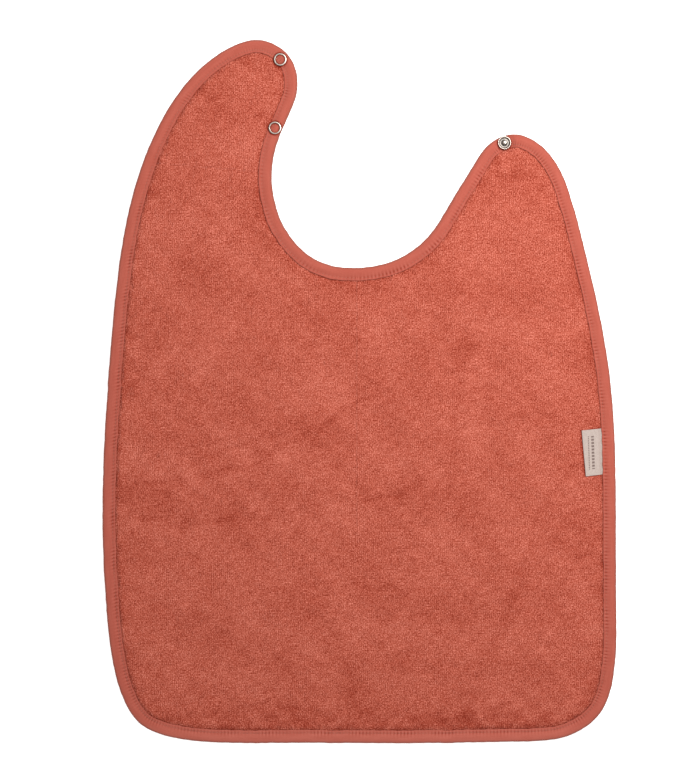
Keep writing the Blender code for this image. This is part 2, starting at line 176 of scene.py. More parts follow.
EDGE = closed_spline(OUTLINE)
STEPS = np.linalg.norm(np.roll(EDGE, -1, axis=0) - EDGE, axis=1)
TRAVEL = np.concatenate([[0], np.cumsum(STEPS)])
ALONG = np.roll(EDGE, -1, axis=0) - np.roll(EDGE, 1, axis=0)
ALONG /= np.linalg.norm(ALONG, axis=1)[:, None]
INWARD = np.stack([-ALONG[:, 1], ALONG[:, 0]], axis=1)
TWO_LAPS = np.arange(2 * len(EDGE) + 1)     # stations of two turns round the edge
TRAVEL_TWICE = np.concatenate([TRAVEL[:-1], TRAVEL + TRAVEL[-1]])

SNAP_MIDDLES = {
    "tip": (middle_of("tip_prong_ring"), 2.2),
    "inner": (middle_of("inner_prong_ring"), 2.2),
    "stud": (middle_of("snap_stud"), 1.0),
}
LABEL_HINGE = joint_named("label_flip")
LABEL_ROOT = np.array(LABEL_HINGE["pos_m"][:2]) / MM
LABEL_UP = np.array(LABEL_HINGE["axis"][:2])
LABEL_OUT = np.array([-LABEL_UP[1], LABEL_UP[0]])
LABEL_LENGTH, LABEL_SLANT = 32.6, 0.9
LABEL_REACHES = (12.0, 13.8)    # how far it stands out at its lower and its upper end
LABEL_TUCK = 2.0                # how far it goes in under the tape


def inset_points(stations, inset):
    """Points at the given places along the edge, moved in from it by inset."""
    low = np.floor(stations).astype(int)
    part = (stations - low)[:, None]
    low, high = low % len(EDGE), (low + 1) % len(EDGE)
    if np.ndim(inset):
        inset = inset[:, None]
    return ((EDGE[low] + inset * INWARD[low]) * (1 - part)
            + (EDGE[high] + inset * INWARD[high]) * part)


def crossing(line, outer, inset):
    """Station where the inset edge crosses a line that runs out from the neck's centre."""
    relative = EDGE + inset * INWARD - NECK_CENTRE
    ahead = relative @ direction(line)
    across = relative @ direction(line + 90)
    beyond = np.roll(across, -1)
    hits = np.flatnonzero((across * beyond <= 0) & (ahead > 0)
                          & ((ahead > NECK_EDGE_REACH) == outer))
    return hits[0] + across[hits[0]] / (across[hits[0]] - beyond[hits[0]])


def away_from(centre, points):
    return np.linalg.norm(points[:, :2] - np.array(centre[:2]), axis=1)


def lift(points):
    """How far the cloth stands up from the floor, in gentle waves: none under snaps and label."""
    total = WAVE_HEIGHT * (1 + np.clip(ripple(points, 95, 3), -1, 1))
    near_edge = 1 - smooth(insets_of(points), 0, 45)
    total += near_edge * np.clip(ripple(points, 150, 8) - 0.25, 0, 1.4) * EDGE_WAVE
    for centre, _ in SNAP_MIDDLES.values():
        total *= smooth(away_from(centre, points), 12, 45)
    label = LABEL_ROOT + LABEL_OUT * LABEL_REACHES[0] / 2
    total *= smooth(away_from(label, points), 22, 60)
    return total


def painted_snap_shadow(points):
    """Painted shadow on the cloth round each snap, and under an open ring inside it."""
    dark = np.zeros(len(points))
    for centre, _ in SNAP_MIDDLES.values():
        away = away_from(centre, points)
        outer = smooth(away, 4.0, 4.4) * (1 - smooth(away, 4.9, 5.7))
        inner = smooth(away, 2.6, 3.2) * (1 - smooth(away, 3.6, 3.8))
        dark = np.maximum(dark, np.maximum(outer, 0.7 * inner))
    return dark


def squeeze(points):
    """Press the layers together round each snap."""
    heights = points[:, 2].copy()
    for centre, underside in SNAP_MIDDLES.values():
        away = away_from(centre, points)
        held = 1 - smooth(away, SQUEEZE_REACH, SQUEEZE_FADE)
        pressed = underside + np.interp(points[:, 2], FREE_HEIGHTS, SQUEEZED_HEIGHTS)
        heights += held * (pressed - points[:, 2])
    return np.column_stack([points[:, :2], heights])


EDGE_TREE = kdtree.KDTree(len(EDGE))
for number, (edge_x, edge_y) in enumerate(EDGE):
    EDGE_TREE.insert((edge_x, edge_y, 0), number)
EDGE_TREE.balance()


def nearest_stations(points):
    return np.array([EDGE_TREE.find((x, y, 0))[1] for x, y in points[:, :2]])


def insets_of(points):
    """Distance of each point inwards from the outer edge, and below 0 outside it."""
    nearest = nearest_stations(points)
    away = points[:, :2] - EDGE[nearest]
    depth = (away * INWARD[nearest]).sum(axis=1)
    slide = (away * ALONG[nearest]).sum(axis=1)
    far = np.abs(slide) > 3
    depth[far] = np.sign(depth[far]) * np.linalg.norm(away[far], axis=1)
    return depth


# ------------------------------------------------------------------------------- meshes

def make_mesh(name, points, polygons, material, attributes=(), sharp=None):
    """Smooth-shaded object in the row frame, from points in millimetres.

    The pairs of points in sharp are the ends of the edges that stay sharp.
    """
    used, numbers = np.unique(np.concatenate([np.ravel(p) for p in polygons]),
                              return_inverse=True)
    mesh = bpy.data.meshes.new(name)
    sizes = np.concatenate([np.full(len(p), np.shape(p)[1]) for p in polygons])
    mesh.vertices.add(len(used))
    mesh.vertices.foreach_set("co", (points[used] * MM).astype(np.float32).ravel())
    mesh.loops.add(len(numbers))
    mesh.loops.foreach_set("vertex_index", numbers.astype(np.int32))
    mesh.polygons.add(len(sizes))
    mesh.polygons.foreach_set("loop_start", (np.cumsum(sizes) - sizes).astype(np.int32))
    mesh.update(calc_edges=True)
    mesh.validate()
    for key, values in attributes:
        kind = "FLOAT_VECTOR" if values.ndim == 2 else "FLOAT"
        layer = mesh.attributes.new(key, kind, "POINT")
        layer.data.foreach_set("vector" if values.ndim == 2 else "value",
                               values[used].astype(np.float32).ravel())
    mesh.shade_smooth()
    if sharp is not None:
        pairs = np.sort(np.searchsorted(used, sharp), axis=1)
        ends = np.empty(2 * len(mesh.edges), np.int32)
        mesh.edges.foreach_get("vertices", ends)
        ends = np.sort(ends.reshape(-1, 2), axis=1)
        marks = np.isin(ends[:, 0] * len(used) + ends[:, 1],
                        pairs[:, 0] * len(used) + pairs[:, 1])
        layer = mesh.attributes.new("sharp_edge", "BOOLEAN", "EDGE")
        layer.data.foreach_set("value", marks)
    mesh.materials.append(material)
    piece = bpy.data.objects.new(name, mesh)
    bpy.context.collection.objects.link(piece)
    return piece


def grid_quads(rows, columns, first=0):
    """Corner numbers of the quads between rings of points, stored ring by ring."""
    i, j = np.meshgrid(np.arange(rows - 1), np.arange(columns), indexing="ij")
    k = (j + 1) % columns
    return first + np.stack([i * columns + j, (i + 1) * columns + j, (i + 1) * columns + k,
                             i * columns + k], axis=-1).reshape(-1, 4)


# ------------------------------------------------------------------------------- terry

CREASES = (  # faint folds in the pile: points along each, then its width and its strength
    ((-159, -66), (-124, -63), (-88, -54), (-63, -43), (-31, -26), (9, -1), 5.0, 1.0),
    ((-162, -88), (-124, -95), (-95, -91), (-63, -86), 4.5, 0.8),
    ((-120, -50), (-80, -40), (-40, -20), 5.0, 0.5),
    ((-42, 61), (-27, 53), (-13, 42), 5.0, 0.6), ((-80, 68), (-50, 74), (-42, 61), 5.0, 0.4),
    ((4, -77), (24, -76), (43, -64), 5.5, 0.9), ((8, -98), (40, -96), (72, -99), 5.0, 0.5),
    ((-46, -135), (0, -136), (43, -141), 5.0, 0.5), ((70, 30), (72, -6), (65, -52), 7.0, 0.5),
    ((40, 61), (60, 48), (79, 30), 9.0, 0.7), ((118, -123), (104, -165), (79, -212), 9.0, 0.5),
    ((140, -105), (160, -118), 9.0, 0.8), ((-165, 45), (-145, 28), 14.0, 0.6),
    ((100, 158), (118, 152), 10.0, 1.0), ((-10, -190), (-4, -215), 8.0, 0.8),
    ((-62, -222), (-36, -229), 8.0, 1.0), ((30, -196), (55, -170), 8.0, 0.5),
    ((40, -232), (75, -234), 9.0, 0.8), ((-48, -150), (-45, -170), 8.0, 0.5),
    ((-75, -228), (-72, -236), 6.0, -0.9), ((66, -222), (68, -236), 4.0, -0.9),
    ((86, -222), (90, -236), 4.0, -0.8), ((-28, 12), (-14, -4), 14.0, -0.5),
    ((-30, -60), (-12, -88), 14.0, -0.5), ((85, 20), (82, -40), 12.0, -0.45),
    ((-150, 55), (-135, 40), 12.0, -0.4),
)


def crease_strength(points):
    """How strongly the pile is parted at each point, and below 0 where it is brushed up."""
    total = np.zeros(len(points))
    place = points[:, :2] + 1.6 * np.column_stack([ripple(points, 17, 41), ripple(points, 17, 42)])
    for *line, width, strength in CREASES:
        nearest = np.full(len(points), np.inf)
        reach = 1.6 * width
        box = np.array(line)
        close = ((place > box.min(axis=0) - reach) & (place < box.max(axis=0) + reach)).all(axis=1)
        for start, end in zip(line, line[1:]):
            start, span = np.array(start, float), np.subtract(end, start)
            share = np.clip((place[close] - start) @ span / (span @ span), 0, 1)
            away = place[close] - start - share[:, None] * span
            nearest[close] = np.minimum(nearest[close], np.linalg.norm(away, axis=1))
        total += strength * np.exp(-(nearest / width)**2 * 3)
    return total * (0.75 + 0.25 * ripple(points, 14, 43))


def terry_lattice():
    """Points of the terry's two faces on one lattice, and the cells that lie in the cloth."""
    xs = np.arange(-190, 190, RIB / 2)
    ys = np.arange(-256, 256, LOOP)
    x, y = np.meshgrid(xs, ys)
    flat = np.column_stack([x.ravel(), y.ravel()])
    insets = insets_of(flat)
    inside = (insets > TERRY_INSET).reshape(x.shape)
    cells = inside[:-1, :-1] & inside[1:, :-1] & inside[:-1, 1:] & inside[1:, 1:]
    rng = np.random.default_rng(11)
    creases = crease_strength(flat)
    open_pile = smooth(insets + 0.5 * ripple(flat, 5, 44), BINDING - 0.2, BINDING + 2.2)
    rib = np.tile(np.where(np.arange(len(xs)) % 2, 1.0, -1.0), len(ys))
    loops = rng.normal(0, 1, len(flat))
    tufts = np.clip(0.55 * rib * (0.6 + 0.4 * ripple(flat, 40, 21)) + 0.6 * loops, -1.6, 1.6)
    waves = 0.10 * ripple(flat, 7, 5) + 0.12 * ripple(flat, 22, 6)
    shift = rng.normal(0, 0.16, (len(flat), 2)) * open_pile[:, None]
    top = HELD_TOP + open_pile * (PILE - HELD_TOP + 0.17 * tufts + waves - 0.3 * creases)
    reach, above = label_reach(flat)    # the pile is flat under the label
    under_label = above & (reach > -LABEL_TUCK) & (reach < LABEL_REACHES[1] + 1)
    top[under_label] = np.minimum(top, label_middle(reach) - 0.42)[under_label]
    under = HELD_UNDER - open_pile * (HELD_UNDER - FREE_UNDER - 0.05 * np.abs(loops))
    face = squeeze(np.column_stack([flat + shift, top]))
    back = squeeze(np.column_stack([flat, under]))
    raised = lift(flat)
    face[:, 2] += raised
    back[:, 2] += raised
    # pile: painted shade in the hollows between loops and painted light on their tips, from the
    # same rib and loop heights as the face
    pile = np.clip(0.5 + 0.24 * rib * (0.7 + 0.3 * ripple(flat, 40, 21)) + 0.15 * loops, 0, 1)
    near_tape = np.exp(-np.clip(insets - BINDING, 0, None) / 3.2)
    # painted shade along the creases and next to the tape, painted light where the pile is brushed
    # up; the ripples add random tone
    shade = (-0.15 * creases - near_tape * (0.12 + 0.06 * ripple(flat, 16, 45))
             + 0.020 * ripple(flat, 12, 46) + 0.022 * ripple(flat, 28, 47)
             + 0.022 * ripple(flat, 60, 48))
    hem = smooth(-flat[:, 1], 195, 240)
    shade += hem * (0.045 * ripple(flat, 10, 49) - 0.05)
    # painted shadow round each snap
    shade -= 0.42 * painted_snap_shadow(flat)
    up = (flat - LABEL_ROOT) @ LABEL_UP / LABEL_LENGTH + 0.5    # and dark beside it
    beyond = reach - LABEL_REACHES[0] - up * (LABEL_REACHES[1] - LABEL_REACHES[0])
    # painted shadow on the pile along the label's side and at its top end
    shade -= 0.30 * (above & (beyond > -0.8)) * (1 - smooth(beyond, 0.6, 2.0))
    shade -= 0.20 * (above & (beyond < 0) & (reach > 0) & (up > 0.99))
    return xs, ys, face, back, cells, shade, pile


def region_of(points):
    """0 for the strap side of the front, 1 for the strap's end, 2 for the shoulder side."""
    relative = points - NECK_CENTRE
    past_cut = relative @ direction(STRAP_CUT + 90) < 0
    left = relative[:, 0] < 0
    return np.where(left, np.where(past_cut, 1, 0), 2)


def back_blocks(mine, width, high=2, wide=4):
    """Polygons of the back: blocks of cells away from the border are merged into one."""
    rows, columns = mine.shape
    rows, columns = rows // high * high, columns // wide * wide
    tiles = mine[:rows, :columns].reshape(rows // high, high, columns // wide, wide)
    full = tiles.all(axis=(1, 3))
    deep = full.copy()
    for shift in (1, -1):
        deep &= np.roll(full, shift, axis=0) & np.roll(full, shift, axis=1)
    deep[[0, -1]] = False
    deep[:, [0, -1]] = False
    fine = mine.copy()
    merged = {}
    for b, a in zip(*np.nonzero(deep)):
        j, i = b * high, a * wide
        fine[j:j + high, i:i + wide] = False
        south = range(i, i + wide, wide if deep[b - 1, a] else 1)
        east = range(j, j + high, high if deep[b, a + 1] else 1)
        north = range(i + wide, i, -(wide if deep[b + 1, a] else 1))
        west = range(j + high, j, -(high if deep[b, a - 1] else 1))
        ring = ([j * width + k for k in south] + [k * width + i + wide for k in east]
                + [(j + high) * width + k for k in north] + [k * width + i for k in west])
        merged.setdefault(len(ring), []).append(ring[::-1])
    return fine, [np.array(rings) for rings in merged.values()]


def add_terry(material):
    """The towelling, in three pieces that meet along the two cuts."""
    xs, ys, face, back, cells, shade, pile = terry_lattice()
    width, count = len(xs), len(face)
    middles = np.column_stack([np.tile(xs[:-1] + RIB / 4, len(ys) - 1),
                               np.repeat(ys[:-1] + LOOP / 2, len(xs) - 1)])
    region = region_of(middles).reshape(cells.shape)
    points = np.vstack([face, back])
    both = [("rest", points), ("shade", np.tile(shade, 2)),
            ("pile", np.concatenate([pile, np.full(count, 0.5)]))]
    pieces = []
    for number, name in enumerate(("terry_front_left", "terry_strap_end", "terry_front_right")):
        mine = cells & (region == number)
        j, i = np.nonzero(mine)
        low = j * width + i
        front = np.column_stack([low, low + 1, low + 1 + width, low + width])
        fine, merged = back_blocks(mine, width)
        j, i = np.nonzero(fine)
        low = j * width + i
        behind = np.column_stack([low, low + width, low + 1 + width, low + 1]) + count
        sides = np.concatenate([front[:, [k, (k + 1) % 4]] for k in range(4)])
        keys = sides[:, 0] * count + sides[:, 1]
        rim = sides[~np.isin(sides[:, 1] * count + sides[:, 0], keys)]
        wall = np.column_stack([rim[:, 1], rim[:, 0], rim[:, 0] + count, rim[:, 1] + count])
        polygons = [front, behind, wall] + [rings + count for rings in merged]
        pieces.append(make_mesh(name, points, polygons, material, both,
                                sharp=np.vstack([rim, rim + count])))
    return pieces


# ------------------------------------------------------------------------ tape and stitches

class Run:
    """A stretch of the edge between two cuts, taken anticlockwise."""

    def __init__(self, start, end):
        self.start, self.end = start, end
        first, last = self.ends(0)
        begun, done = np.interp([first, last], TWO_LAPS, TRAVEL_TWICE)
        self.travel = np.linspace(begun, done, math.ceil((done - begun) / TAPE_STEP) + 1)
        stations = np.interp(self.travel, TRAVEL_TWICE, TWO_LAPS)
        self.shares = (stations - first) / (last - first)

    def ends(self, inset):
        """Stations where the run's inset edge starts and ends."""
        first, last = crossing(*self.start, inset), crossing(*self.end, inset)
        return first, last + (len(EDGE) if last < first else 0)

    def column(self, inset, height):
        """Points along the whole run at one inset and height."""
        first, last = self.ends(inset)
        flat = inset_points(first + self.shares * (last - first), inset)
        return np.column_stack([flat, np.full(len(flat), height)])


def tape_section():
    """Section of the folded tape as insets and heights, from the inner lip round the fold."""
    face = [(9.1, 3.55), (9.36, 3.72), (9.38, 3.98), (9.1, 4.18), (8.6, 4.2), (8.0, 4.1),
            (7.4, 3.98), (6.8, 4.08), (6.2, 4.3), (5.4, 4.5), (4.4, 4.62), (3.2, 4.62),
            (2.0, 4.44), (1.1, 4.1), (0.5, 3.6), (0.12, 2.95)]
    inside = [(1.1, 2.3), (1.7, 3.1), (2.8, 3.45), (6.0, 3.5)]
    back = [(inset, max(CLOTH_TOP - height, 0.0)) for inset, height in reversed(face)]
    inside_back = [(inset, CLOTH_TOP - height) for inset, height in reversed(inside[1:])]
    return face + [(0.0, CLOTH_MIDDLE)] + back + inside_back + inside


def add_tape(name, run, material):
    """One length of the folded tape, with the small puckers that its stitching makes."""
    section = tape_section()
    travel = run.travel
    marker = np.column_stack([travel, np.zeros(len(travel))])
    slow, quick = ripple(marker, 34, 31), ripple(marker, 9, 32)
    dents = np.cos(2 * math.pi * travel / STITCH_PITCH)
    deep = 0.6 + 0.4 * np.clip(ripple(marker, 25, 33), -1, 1)
    ends = smooth(travel, travel[0], travel[0] + 6) * (1 - smooth(travel, travel[-1] - 6,
                                                                  travel[-1]))
    columns, places, shades = [], [], []
    for inset, height in section:
        column = run.column(inset, height)
        side = 1 if height > CLOTH_MIDDLE else -1
        stitched = math.exp(-((inset - STITCH_INSET) / 2.6)**2)
        pricked = math.exp(-((inset - STITCH_INSET) / 0.8)**2)
        outside = 1.0 if abs(height - CLOTH_MIDDLE) > 1.22 else 0.0
        change = outside * (0.05 * slow + (0.05 * quick + 0.10 * dents * deep) * stitched)
        column[:, 2] += side * change * ends
        column[:, 2] = np.maximum(column[:, 2], 0)
        wobble = (0.10 * slow + 0.10 * quick) * ends * (1 if inset > 8 else 0.5)
        column[:, :2] += INWARD[nearest_stations(column)] * wobble[:, None]
        column = squeeze(column)
        column[:, 2] += lift(column)
        columns.append(column)
        places.append(np.column_stack([travel, np.full(len(travel), inset),
                                       np.full(len(travel), height)]))
        # lighter towards the bottom of the hem
        lighter_by_hem = 0.07 * (1 - smooth(column[:, 1], -246, -228))
        # painted light and shade on the stitch puckers, painted shade in the needle holes and
        # painted shadow round the snaps
        shades.append(outside * (0.09 * dents * deep * stitched + lighter_by_hem
                                 - 0.34 * pricked * deep * smooth(-dents, 0.1, 1.0)
                                 - 0.50 * painted_snap_shadow(column)))
    rows, count = len(travel), len(section)
    points = np.stack(columns, axis=1).reshape(-1, 3)
    marks = np.stack(places, axis=1).reshape(-1, 3)
    quads = grid_quads(rows, count)
    cap = np.arange(count)[None]
    polygons = [quads[:, ::-1], cap, (rows - 1) * count + cap[:, ::-1]]
    piece = make_mesh(name, points, polygons, material,
                      [("tape_place", marks), ("shade", np.stack(shades, 1).ravel())])
    piece.data.set_sharp_from_angle(angle=math.radians(65))
    return piece


def stitch_shape():
    """One stitch along X: a short length of thread that dives at both ends, as rings of points."""
    rings = []
    for t in np.linspace(-1, 1, STITCH_RINGS):
        radius = 0.27 * math.sqrt(max(1 - t**4, 0.05))
        dive = -0.32 * t**4
        for k in range(THREAD_SIDES):
            angle = 2 * math.pi * k / THREAD_SIDES
            rings.append((t * STITCH_LENGTH / 2, radius * math.cos(angle),
                          dive + radius * 0.8 * math.sin(angle)))
    return np.array(rings)


def add_stitches(name, run, side, material):
    """A row of stitches along a run, on the face (side 1) or on the back (side -1)."""
    shape = stitch_shape()
    first, last = run.ends(STITCH_INSET)
    begun, done = np.interp([first, last], TWO_LAPS, TRAVEL_TWICE)
    clear = 1.6     # no stitch starts nearer than this to the run's ends
    places = np.arange(math.ceil((begun + clear) / STITCH_PITCH) * STITCH_PITCH, done - clear,
                       STITCH_PITCH)
    stations = np.interp(places, TRAVEL_TWICE, TWO_LAPS)
    middles = inset_points(stations, STITCH_INSET)
    ahead = inset_points(stations + 0.2, STITCH_INSET) - middles
    ahead /= np.linalg.norm(ahead, axis=1)[:, None]
    rng = np.random.default_rng(51)
    points = []
    for middle, along in zip(middles, ahead):
        turn = rng.normal(0, 0.07)
        along = np.array([along[0] - turn * along[1], along[1] + turn * along[0]])
        across = np.array([-along[1], along[0]]) * side
        flat = middle + shape[:, :1] * along + shape[:, 1:2] * across
        level = CLOTH_MIDDLE + side * (STITCH_RISE + shape[:, 2])
        points.append(np.column_stack([flat, level]))
    points = squeeze(np.vstack(points))
    points[:, 2] = np.maximum(points[:, 2] + lift(points), 0.0)
    each, ring = len(shape), np.arange(THREAD_SIDES)
    quads = np.concatenate([grid_quads(STITCH_RINGS, THREAD_SIDES, first=k * each)
                            for k in range(len(places))])
    caps = np.concatenate([[ring + k * each, each - 1 - ring + k * each]
                           for k in range(len(places))])
    return make_mesh(name, points, [quads, caps], material)


# -------------------------------------------------------------------------------- snaps

def ring_dark_reflection(radius):
    """Share of painted dark reflection at a radius: an open ring is left bright along its crest
    only.
    """
    return float(1 - smooth(radius, 3.4, 3.65) * (1 - smooth(radius, 4.2, 4.42)))


def stud_dark_reflection(radius):
    """Painted dark reflection on the stud: bright on its rim and its dome, dark in the groove
    between them.
    """
    groove = smooth(radius, 0.9, 1.6) * (1 - smooth(radius, 3.4, 4.0))
    return float(max(groove, smooth(radius, 4.45, 4.74)))


def add_turned(name, body, node, centre, profile, material, dark_reflection=ring_dark_reflection):
    """A turned piece that takes the place of a CAD node, from radii and heights."""
    points, quads = [], []
    is_ring = profile[0][0] > 0
    for k in range(TURN_SIDES):
        angle = 2 * math.pi * k / TURN_SIDES
        points += [(centre[0] + r * math.cos(angle), centre[1] + r * math.sin(angle), z)
                   for r, z in profile]
    count = len(profile)
    for k in range(TURN_SIDES):
        following = (k + 1) % TURN_SIDES
        for i in range(count if is_ring else count - 1):
            j = (i + 1) % count
            quads.append((k * count + i, following * count + i, following * count + j,
                          k * count + j))
    # share of painted dark reflection at each profile point
    dark_reflections = np.tile([dark_reflection(r) for r, _ in profile], TURN_SIDES)
    polygons = [np.array(quads)]
    if not is_ring:
        turn = np.arange(TURN_SIDES) * count
        polygons += [turn[None, ::-1], turn[None] + count - 1]
    piece = make_mesh(name, np.array(points), polygons, material, [("dark_reflection", dark_reflections)])
    piece.data.set_sharp_from_angle(angle=math.radians(50))
    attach(piece, body)
    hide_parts(node)


def arc(centre_r, centre_z, radius, start, end, count):
    """Points of an arc in a turned profile, between two bearings in degrees."""
    return [(centre_r + radius * math.cos(math.radians(a)),
             centre_z + radius * math.sin(math.radians(a)))
            for a in np.linspace(start, end, count)]


def ring_profile(base, up):
    """Rolled open ring, 9 mm across: round outside, turned down at its inner edge."""
    shape = [(3.35, 0.02), (4.38, 0.0)] + arc(4.22, 0.30, 0.28, -30, 90, 8) \
        + arc(3.78, 0.32, 0.34, 90, 180, 8)
    points = [(r, base + up * z) for r, z in shape]
    return points if up > 0 else points[::-1]


def add_prongs(name, body, centre, base, tip, bearing, material):
    """The teeth of a prong ring, curled outwards where they end."""
    sections = ((0.0, 0.0, 0.5), (0.0, 0.5, 0.42), (0.02, 0.85, 0.3), (0.15, 1.0, 0.12))
    thick = 0.18    # half a tooth's thickness
    points, quads = [], []
    for k in range(TEETH):
        turn = math.radians(bearing + 360 / TEETH * k)
        start = len(points)
        for curl, share, half in sections:
            radius = TOOTH_RADIUS + curl
            height = base + (tip - base) * share
            for r, w in ((radius - thick, -half), (radius + thick, -half),
                         (radius + thick, half), (radius - thick, half)):
                points.append((centre[0] + r * math.cos(turn) - w * math.sin(turn),
                               centre[1] + r * math.sin(turn) + w * math.cos(turn), height))
        for step in range(len(sections) - 1):
            low = start + 4 * step
            quads += [(low + i, low + (i + 1) % 4, low + 4 + (i + 1) % 4, low + 4 + i)
                      for i in range(4)]
        quads += [(start + 3, start + 2, start + 1, start),
                  (start + 12, start + 13, start + 14, start + 15)]
    quads = np.array(quads)
    if tip < base:
        quads = quads[:, ::-1]
    piece = make_mesh(name, np.array(points), [quads], material)
    piece.data.set_sharp_from_angle(angle=math.radians(40))
    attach(piece, body)


def add_snaps(metal, dark_metal):
    """Two open rings with sockets and springs behind them, and the stud with its back ring."""
    for snap in ("tip", "inner"):
        centre = SNAP_MIDDLES[snap][0]
        bearing = edge_bearing(centre) + (180 if snap == "tip" else 0)
        add_turned(f"{snap}_ring", "strap_tip", f"{snap}_prong_ring", centre,
                   ring_profile(RING_BASE, 1), metal)
        add_prongs(f"{snap}_ring_teeth", "strap_tip", centre, RING_BASE + 0.05, RING_TEETH_TIP,
                   bearing, metal)
        socket = [(1.9, 0.12), (2.1, 0.0), (4.1, 0.0)] + arc(4.2, 0.3, 0.3, -90, 0, 6) \
            + arc(4.3, 1.7, 0.2, 0, 180, 8) + [(4.1, 0.45), (3.0, 0.45)] \
            + arc(2.9, 1.8, 0.1, 0, 90, 3) + [(1.9, 1.9), (1.9, 1.5), (2.5, 1.4), (2.5, 0.5),
                                               (1.9, 0.42)]
        add_turned(f"{snap}_socket_body", "strap_tip", f"{snap}_socket", centre, socket, metal)
        add_spring(f"{snap}_spring", centre, f"{snap}_socket_spring", dark_metal)
    centre = SNAP_MIDDLES["stud"][0]
    base = STUD_BASE
    stud = [(0.0, base), (3.0, base), (3.0, base + 0.55), (4.1, base + 0.55), (4.1, base + 0.02),
            (4.4, base)]
    stud += arc(4.42, base + 0.33, 0.32, -80, 20, 6) + arc(4.25, base + 1.1, 0.42, 10, 160, 10)
    stud += [(3.6, base + 1.0), (3.3, base + 0.86), (2.7, base + 0.84), (2.1, base + 0.9),
             (1.75, base + 1.1), (1.5, base + 1.5), (1.45, base + 1.85)]
    stud += arc(1.2, base + 2.45, 0.5, -20, 60, 7) + [(0.9, base + 3.06), (0.45, base + 3.13),
                                                     (0.0, base + 3.14)]
    add_turned("stud_body", "shoulder", "snap_stud", centre, stud, metal, stud_dark_reflection)
    add_turned("stud_back_ring", "shoulder", "stud_prong_ring", centre,
               ring_profile(STUD_BACK_TOP, -1), metal)
    add_prongs("stud_ring_teeth", "shoulder", centre, STUD_BACK_TOP - 0.05, STUD_TEETH_TIP,
               edge_bearing(centre), metal)


def edge_bearing(centre):
    """Bearing of the nearest outer edge, in degrees."""
    place = np.array(centre[:2])
    outward = EDGE[np.argmin(np.linalg.norm(EDGE - place, axis=1))] - place
    return math.degrees(math.atan2(outward[1], outward[0]))


def add_spring(name, centre, node, material):
    """Split ring of wire in the socket's groove."""
    around, wire = 48, 10
    points = []
    for i in range(around + 1):
        angle = 2 * math.pi * SPRING_SHARE * i / around
        for k in range(wire):
            side = 2 * math.pi * k / wire
            r = SPRING_RADIUS + SPRING_WIRE * math.cos(side)
            points.append((centre[0] + r * math.cos(angle), centre[1] + r * math.sin(angle),
                           SPRING_HEIGHT + SPRING_WIRE * math.sin(side)))
    ring = np.arange(wire)
    polygons = [grid_quads(around + 1, wire), np.array([ring, around * wire + ring[::-1]])]
    piece = make_mesh(name, np.array(points), polygons, material)
    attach(piece, "strap_tip")
    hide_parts(node)


# -------------------------------------------------------------------------------- label

def label_reach(points):
    """Distance of points out from the label's hinge, and whether they lie beside the label."""
    relative = points[:, :2] - LABEL_ROOT
    along = relative @ LABEL_UP
    reach = relative @ LABEL_OUT
    return reach, (np.abs(along + LABEL_SLANT * np.clip(reach, 0, 99) / LABEL_REACHES[0])
                   < LABEL_LENGTH / 2 + 0.7)


def label_middle(distance):
    """Height between the label's two layers: it comes from under the tape onto the pile."""
    return 3.33 + 1.55 * smooth(distance, -0.35, 3.2)


def add_label(material):
    """Folded woven ribbon: from under the tape out to a soft fold, and back beneath."""
    rows, across, bend_points = 44, 22, 7
    outer_count = 2 * across + bend_points
    radius, ribbon = 0.36, 0.28     # of the fold outside, and the ribbon's thickness
    angles = np.radians(np.linspace(75, -75, bend_points))
    points, marks = [], []
    for v in np.linspace(0, 1, rows):
        reach = LABEL_REACHES[0] + (LABEL_REACHES[1] - LABEL_REACHES[0]) * v
        distances = np.linspace(-LABEL_TUCK, reach - radius, across)
        open_share = smooth(distances, -0.3, 2.0)
        curl = (np.clip(distances / reach, 0, 1)**3 * (0.12 + 0.30 * abs(2 * v - 1)**2)
                + 0.10 * np.clip(distances / reach, 0, 1) * math.sin(5.2 * v + 1))
        middle = label_middle(distances) + curl
        gap, thick = 0.02 + 0.06 * open_share, ribbon * (0.5 + 0.5 * open_share)
        sections = []
        for half, fold_radius in ((gap + thick, radius), (gap, radius - ribbon)):
            bend_part = np.column_stack([distances[-1] + fold_radius * np.cos(angles),
                                         middle[-1] + fold_radius * np.sin(angles)])
            sections.append(np.vstack([np.column_stack([distances, middle + half]), bend_part,
                                       np.column_stack([distances, middle - half])[::-1]]))
        ring = np.vstack([sections[0], sections[1][::-1]])
        for distance, height in ring:
            shift = LABEL_SLANT * max(distance, 0) / reach
            flat = (LABEL_ROOT + LABEL_UP * (LABEL_LENGTH * (v - 0.5) - shift)
                    + LABEL_OUT * distance)
            points.append((*flat, height))
            marks.append((distance, LABEL_LENGTH * v, height))
    count = 2 * outer_count
    points, marks = np.array(points), np.array(marks, float)
    quads = grid_quads(rows, count)
    last = (rows - 1) * count
    cap = np.array([[i, i + 1, count - 2 - i, count - 1 - i] for i in range(outer_count - 1)])
    piece = make_mesh("woven_side_label", points, [quads, cap, (cap + last)[:, ::-1]], material,
                      [("label_place", marks)])
    piece.data.set_sharp_from_angle(angle=math.radians(60))
    return piece


# ---------------------------------------------------------------------------- materials

